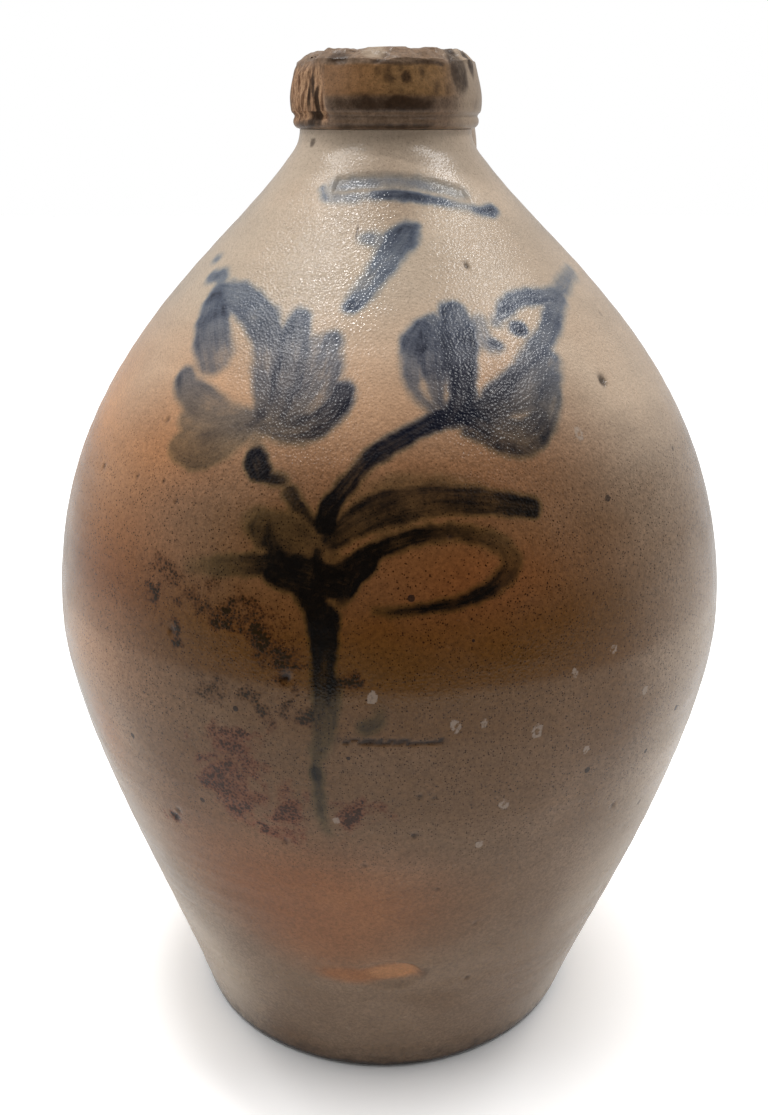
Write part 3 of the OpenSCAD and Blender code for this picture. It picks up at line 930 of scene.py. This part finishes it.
for i in range(strap_rings - 1):
    low, high = i * strap_points, (i + 1) * strap_points
    faces += [(low + j, low + (j + 1) % strap_points, high + (j + 1) % strap_points, high + j)
              for j in range(strap_points)]
for first, flip in ((0, True), ((strap_rings - 1) * strap_points, False)):
    ring = strap_skin[first:first + strap_points]
    hub = ring.mean(0)
    hub[:2] *= (body_r(hub[2]) - root_sunk) / np.hypot(hub[0], hub[1])
    points.append(hub * mm)
    last = len(points) - 1
    for j in range(strap_points):
        a, b = first + j, first + (j + 1) % strap_points
        faces.append((last, b, a) if flip else (last, a, b))
strap_handle = clay_piece("strap_handle_clay", points, faces)
even = np.ones(len(points))
stamp_masks(strap_handle, pale=smooth(np.array(points)[:, 2] / mm, 200, 240) * 0.8, iron=even * 0.4,
            pebbles=even * 0.6)
handle_glaze = salt_glaze("handle_salt_glaze", grey_clay, pale_tan, ochre_brown, 0.3)
strap_handle.data.materials.append(handle_glaze)
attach(strap_handle, "root")
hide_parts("strap_handle")

# The brushwork: cobalt slip laid on the damp clay with a soft round brush before the salt firing.
# Two blossoms stand on one stem with a broad leaf and a looped one, a plain 1 above them.
# Each stroke is a run of (degrees round, height in mm, width in mm, load of cobalt).
numeral = [
    [(4.5, 238.6, 3, 0.52), (7, 239.1, 3.4, 0.6), (9.6, 239, 3, 0.66)],
    [(6.6, 238.2, 5.6, 0.6), (4.4, 236.4, 7.8, 0.58), (1.4, 233.6, 7.6, 0.53), (-1.5, 230.5, 6.8, 0.48),
     (-4.2, 227.5, 5.8, 0.42), (-6.8, 224.6, 5.2, 0.48), (-8.8, 222.3, 4, 0.64)],
    [(-7.4, 236.6, 3.6, 0.36), (-5, 236.4, 4.4, 0.42), (-2.4, 236, 5, 0.36), (0.4, 235.6, 5, 0.4)]]
band = [
    [(-30.5, 247.3, 1.4, 0.64), (-28.5, 246, 1.5, 0.6), (-26, 244.8, 1.5, 0.6), (-22, 244.3, 1, 0.35)],
    [(-28, 246.5, 2, 0.24), (-22, 245.3, 3.4, 0.34), (-14, 245.4, 3.4, 0.38), (-8, 245.8, 3, 0.36),
     (-3, 246, 2.8, 0.42)],
    [(-5, 246, 3, 0.5), (2, 246.2, 3.8, 0.76), (9, 245.9, 3.8, 0.78), (16, 245.2, 3.4, 0.66),
     (24, 244.3, 2.6, 0.48)],
    [(24, 244.4, 3, 0.42), (31, 243.4, 3, 0.38), (38, 242.3, 3, 0.46)],
    [(40, 241.8, 3.4, 0.56), (45, 241.8, 3.9, 0.68), (48, 242, 3.4, 0.62)],
    [(-25, 248.1, 3.8, 0.34), (-12, 249, 3.8, 0.4), (0, 249.3, 3.8, 0.36), (12, 248.9, 3.8, 0.38),
     (24, 247.8, 3.8, 0.34), (36, 246, 3.8, 0.26)]]
left_blossom = [
    [(-50, 223, 6.4, 0.56), (-45, 223, 8, 0.6), (-40, 222.4, 9, 0.6), (-35, 221, 9, 0.56),
     (-30.6, 218.6, 9, 0.54), (-27.2, 214.8, 8.6, 0.52), (-25.2, 210, 7.8, 0.5), (-23.8, 205, 6.8, 0.54),
     (-23.4, 200, 5.4, 0.58)],
    [(-49, 220.8, 8, 0.66), (-45.6, 217, 10.4, 0.7), (-42, 213.4, 11, 0.58), (-38.8, 210, 10.4, 0.38)],
    [(-42, 208.4, 3.6, 0.3), (-37.4, 207.6, 3, 0.24)],
    [(-38, 196.6, 8, 0.44), (-32, 196.2, 7.4, 0.42), (-26, 197.6, 6, 0.4)],
    [(-58, 225.8, 4.6, 0.52), (-56.6, 226, 4.6, 0.54)],
    [(-54.2, 226.6, 4.4, 0.5), (-52.4, 226, 4.4, 0.5)],
    [(-64.6, 229.4, 3, 0.42), (-63.2, 229.6, 3, 0.42)],
    [(-44.4, 205, 6, 0.6), (-42, 202.6, 8.4, 0.56), (-37.6, 200.8, 9, 0.46), (-32.5, 199.2, 8, 0.4),
     (-27.5, 198.6, 6.8, 0.4), (-24, 198.6, 4, 0.5)],
    [(-38.4, 191, 7.6, 0.54), (-36, 190.2, 9, 0.58), (-33, 190.8, 9.8, 0.56), (-30, 193, 8.8, 0.5),
     (-27, 195.4, 7, 0.46), (-24.5, 197.6, 4.8, 0.5)],
    [(-22.6, 192.4, 4.6, 0.34), (-24, 196.6, 4.6, 0.34)],
    [(-20.8, 219.6, 6.4, 0.62), (-20.2, 213, 9, 0.54), (-19.8, 207, 9.4, 0.5), (-20.4, 201, 7, 0.54)],
    [(-22.6, 219, 2, 0.4), (-22.4, 212, 2.6, 0.4), (-22, 205, 2.6, 0.36)],
    [(-16, 214.6, 5, 0.34), (-15.8, 211, 7, 0.38), (-16.2, 206, 7.6, 0.42), (-18, 201, 7, 0.46)],
    [(-12.2, 215.2, 6, 0.5), (-12.4, 210, 7.4, 0.46), (-13.8, 205, 8.4, 0.46), (-17, 200.5, 6, 0.5)],
    [(-8.3, 205.4, 5.6, 0.66), (-9.4, 202.4, 6.4, 0.7), (-12.4, 199.1, 6.8, 0.7),
     (-16.6, 197.1, 6.4, 0.62), (-21.8, 197.2, 4.6, 0.5)],
    [(-10.8, 198, 3.4, 0.5), (-14.6, 195.9, 4, 0.52), (-18.4, 195.7, 4, 0.44), (-22, 197, 3, 0.4)],
    [(-22.5, 190.4, 5.6, 0.96), (-21.5, 188.6, 5.8, 0.96)],
    [(-20.4, 187.5, 3.6, 0.84), (-17.2, 186.8, 3.4, 0.78)],
    [(-15.6, 184.4, 4.2, 0.8), (-14, 182, 3.8, 0.74), (-12.4, 179.8, 3.2, 0.7), (-11, 178.4, 3, 0.8)]]
right_blossom = [
    [(7.6, 217.8, 6, 0.6), (5.4, 214.5, 7, 0.6), (4.5, 210, 5, 0.56), (5, 205.8, 3.2, 0.5),
     (7.6, 201.8, 3, 0.55)],
    [(9.8, 218.4, 6.4, 0.6), (9.4, 214, 9, 0.64), (9, 209, 6.8, 0.6), (9, 204, 3.4, 0.5),
     (10.5, 201, 3, 0.6)],
    [(12.4, 218.6, 3.6, 0.56), (12, 213, 4.4, 0.56), (11.6, 208, 3, 0.5)],
    [(15.6, 220.8, 7.6, 0.68), (15.2, 215, 9.4, 0.7), (14.4, 209, 7.6, 0.72), (13.6, 204, 6.4, 0.8),
     (12, 201, 6, 0.9)],
    [(21, 218.6, 5, 0.3), (20.8, 215.4, 5.6, 0.34), (22, 213.4, 3.6, 0.34)],
    [(22.8, 214.1, 3.2, 0.66), (24, 213.7, 3.2, 0.66)],
    [(25.6, 218.4, 3, 0.44), (28.6, 220.4, 4, 0.58), (32.4, 222.3, 4.8, 0.6), (37, 223, 5.2, 0.58),
     (42, 222.6, 5, 0.54), (48, 222.6, 4.6, 0.5)],
    [(50, 223, 4.8, 0.46), (55, 224, 5, 0.42), (60, 225.4, 4.8, 0.42), (66, 226, 4.6, 0.4)],
    [(49.6, 221.6, 4.4, 0.52), (45, 219.6, 6, 0.56), (40.4, 216.9, 6.4, 0.54), (35.6, 213.9, 6, 0.5),
     (30.8, 211, 5.4, 0.56), (25.4, 207.7, 5, 0.6), (19, 204, 4.4, 0.68)],
    [(30.1, 216.8, 4.4, 0.74), (31.1, 216.7, 4.4, 0.74)],
    [(35, 209.4, 6.6, 0.46), (32, 207, 10, 0.5), (28, 204.6, 10, 0.52), (22, 202.4, 8, 0.6),
     (16, 201, 6, 0.74)],
    [(33.6, 206, 6, 0.5), (31.4, 202, 7.4, 0.54), (28.8, 198.4, 7.6, 0.56), (26, 195.6, 7, 0.6)],
    [(28.4, 199, 5, 0.6), (26.4, 196.4, 9, 0.64), (23.2, 194.9, 9.8, 0.64), (19, 196.8, 8.4, 0.68),
     (15, 199.4, 6, 0.85)],
    [(24, 192.4, 3, 0.62), (20, 192.8, 3, 0.62), (16, 195, 2.6, 0.62), (13.4, 197, 2.4, 0.66)]]
stem = [
    [(15.5, 200.6, 3.4, 0.8), (12, 199.6, 5, 0.9), (8.5, 199.4, 5, 0.94), (5, 197.8, 4.6, 0.9),
     (2, 196, 4.6, 0.88), (-1, 194, 4.8, 0.88), (-3.6, 191.6, 4.8, 0.88), (-5.6, 188.6, 4.6, 0.88),
     (-7.4, 185.4, 4.6, 0.9), (-9, 182.6, 4.8, 0.96)],
    [(-9, 182.4, 5.2, 1), (-9.6, 178.8, 5.6, 1)],
    [(-18.4, 177.4, 3.4, 0.6), (-18, 174.6, 4.4, 0.8), (-17, 172, 4, 0.86), (-16, 170.4, 4, 0.95)],
    [(-17, 169.6, 4.6, 0.95), (-14, 169, 6.6, 1), (-11, 168, 7.6, 1), (-8, 166.8, 7, 1)],
    [(-10.6, 172.6, 3, 0.8), (-10.6, 170, 3.6, 0.95), (-10.2, 167, 4, 1)],
    [(-17.4, 167, 4.2, 0.85), (-14.6, 165.8, 4.6, 0.95), (-11, 164.8, 4.4, 1), (-6.6, 164.6, 4, 1)],
    [(-3, 170.6, 4.6, 1), (-5.2, 168, 5.6, 1), (-6.2, 164.8, 4.6, 1), (-6.8, 162.4, 3, 0.7)],
    [(-13.2, 163.4, 2.6, 0.8), (-10.8, 161.8, 6, 1), (-9.4, 157, 7.6, 1)],
    [(-9.3, 158, 8, 1), (-9.2, 152, 6.6, 1), (-9.2, 147, 6.2, 0.92), (-9, 142, 6.8, 0.74),
     (-9, 137, 6.6, 0.58), (-9.2, 131, 5.4, 0.52), (-9.8, 126, 4.4, 0.46)],
    [(-10.6, 127, 2.4, 0.42), (-10.4, 121, 2.6, 0.6), (-10.3, 115, 3, 0.6), (-10.3, 109, 3, 0.5),
     (-9.8, 103, 2, 0.4)],
    [(-10.6, 121, 2.6, 0.86), (-10.4, 118.6, 3, 0.86)],
    [(-9.4, 102.4, 1.8, 0.4), (-8.8, 101, 1.6, 0.36)],
    [(-3.4, 133, 4, 0.6), (-1.8, 134.6, 3.6, 0.56), (-1.4, 138, 2.4, 0.24)]]
leaves = [
    [(-8.6, 175.6, 6, 0.76), (-4.4, 179.6, 8, 0.72), (1, 182.6, 8.4, 0.72), (7, 183.6, 8, 0.74),
     (13, 183, 7.4, 0.78), (18, 182, 6, 0.84), (22.4, 180.6, 5, 0.88)],
    [(-6, 184, 3, 0.2), (0, 187.4, 3.6, 0.3), (7, 188, 3.6, 0.28), (14, 186.6, 2.6, 0.2)],
    [(-8, 168, 5, 0.97), (-5, 170.6, 5.2, 0.94), (-2, 173.4, 5, 0.88), (2, 175.6, 4.8, 0.8),
     (6, 176.8, 4.4, 0.72), (10, 176.8, 4.2, 0.68), (14, 175.4, 4.6, 0.62), (17, 172.8, 5.2, 0.6),
     (17.8, 169.6, 5.6, 0.62), (16.4, 166.4, 5.2, 0.72), (13.4, 163.8, 4, 0.82), (9.6, 162, 3.2, 0.86),
     (5, 161, 2.8, 0.86), (1, 160.4, 2.3, 0.86), (-2, 160.4, 1.7, 0.6)],
    [(-31, 166, 4, 0.26), (-26, 167.2, 5.4, 0.5), (-20.5, 168.8, 5, 0.66), (-16, 169.6, 4.4, 0.9)],
    [(-12.4, 177, 2.4, 0.5), (-14.4, 179, 2.8, 0.5), (-17.2, 178.4, 3, 0.5), (-18.8, 176, 3.4, 0.6),
     (-18.4, 173.6, 3.4, 0.8)],
    [(-17, 174.6, 4, 0.42), (-15, 172.4, 4, 0.7)],
    [(-20.5, 177.6, 8, 0.3), (-16.5, 175.6, 10, 0.5), (-12.5, 172.6, 10, 0.5), (-8.5, 171.6, 6, 0.4)],
    [(-19.8, 179.4, 3.4, 0.5), (-20.4, 176.4, 4.6, 0.72), (-19.4, 173.6, 3.6, 0.6)]]


def through(knots, marks):
    # A smooth line through all the knots, read off at marks from 0 to 1
    pad = np.concatenate([2 * knots[:1] - knots[1:2], knots, 2 * knots[-1:] - knots[-2:-1]])
    at = marks * (len(knots) - 1)
    k = np.minimum(at.astype(int), len(knots) - 2)
    u = (at - k)[:, None]
    p0, p1, p2, p3 = pad[k], pad[k + 1], pad[k + 2], pad[k + 3]
    return 0.5 * (2 * p1 + (p2 - p0) * u + (2 * p0 - 5 * p1 + 4 * p2 - p3) * u * u
                  + (3 * p1 - p0 - 3 * p2 + p3) * u ** 3)


# Points on a stroke's line for each knot, how much of the thinner coat shows where two strokes
# cross, and how far apart in its hairs each stroke lies from the last
points_per_knot = 20
coat_over_coat = 0.35
hairs_apart = 37


def lay_cobalt(piece, where, strokes):
    turn, z, true, shown = where
    total, across, along, boldest = np.zeros((4, len(turn)))
    skin = np.concatenate([lower_skin, upper_skin])
    for number, stroke in enumerate(strokes):
        knots = np.array(stroke, float)
        marks = np.linspace(0, 1, len(knots))
        fine_marks = np.linspace(0, 1, points_per_knot * len(knots))
        spots = through(knots[:, :2], fine_marks)
        half = np.interp(fine_marks, marks, knots[:, 2]) / 2
        load = np.interp(fine_marks, marks, knots[:, 3])
        r = np.interp(spots[:, 1], skin[:, 1], skin[:, 0])
        a = np.radians(spots[:, 0])
        route = np.stack([r * np.sin(a), -r * np.cos(a), spots[:, 1]], 1)
        ahead = np.gradient(route, axis=0)
        ahead /= np.maximum(np.linalg.norm(ahead, axis=1), 1e-6)[:, None]
        outward = np.stack([np.sin(a), -np.cos(a), np.full(len(a), 0.5)], 1)
        sideways = np.cross(ahead, outward)
        sideways /= np.linalg.norm(sideways, axis=1)[:, None]
        gone = np.concatenate([[0], np.cumsum(np.linalg.norm(np.diff(route, axis=0), axis=1))])
        margin = half.max() + 1.5
        beside = np.abs(turn - spots[:, 0].mean()) < np.ptp(spots[:, 0]) / 2 + 12
        level = (z > spots[:, 1].min() - margin) & (z < spots[:, 1].max() + margin)
        near = np.flatnonzero(beside & level & (shown > 0))
        if not len(near):
            continue
        apart = np.linalg.norm(true[near, None] - route[None], axis=2)
        inner = half[None] - apart
        best = inner.argmax(1)
        inside = inner[np.arange(len(near)), best]
        offset = ((true[near] - route[best]) * sideways[best]).sum(1)
        frayed = 0.5 * wander(true[near], 2.2, number * 3.1)
        frayed += 0.9 * wander(true[near], 7.0, 80 + number) * smooth(half[best], 1.6, 3.2)
        soft = 0.95 + 1.2 * (1 - load[best])
        edge = smooth(inside + frayed, -soft, soft)
        pooled = 1 + 0.12 * np.exp(-((inside - 1.1) / 0.8) ** 2)
        combed = 1 + 0.04 * np.sin(offset * 2.1 + 2.5 * np.sin(gone[best] * 0.11 + number) + number * 1.9)
        cloudy = 1 + 0.3 * wander(true[near], 6.0, 50 + number)
        here = np.clip(edge * load[best] * pooled * combed * cloudy, 0, 1)
        more, less = np.maximum(here, total[near]), np.minimum(here, total[near])
        total[near] = more + coat_over_coat * less * (1 - more)
        bolder = here > boldest[near]
        chosen = near[bolder]
        boldest[chosen] = here[bolder]
        across[chosen] = offset[bolder] + number * hairs_apart
        along[chosen] = gone[best][bolder]
    stamp_masks(piece, cobalt=total, brush_across=across, brush_along=along)


all_strokes = numeral + band + left_blossom + right_blossom + leaves + stem
lay_cobalt(lower_body, lower_where, all_strokes)
lay_cobalt(upper_body, upper_where, all_strokes)
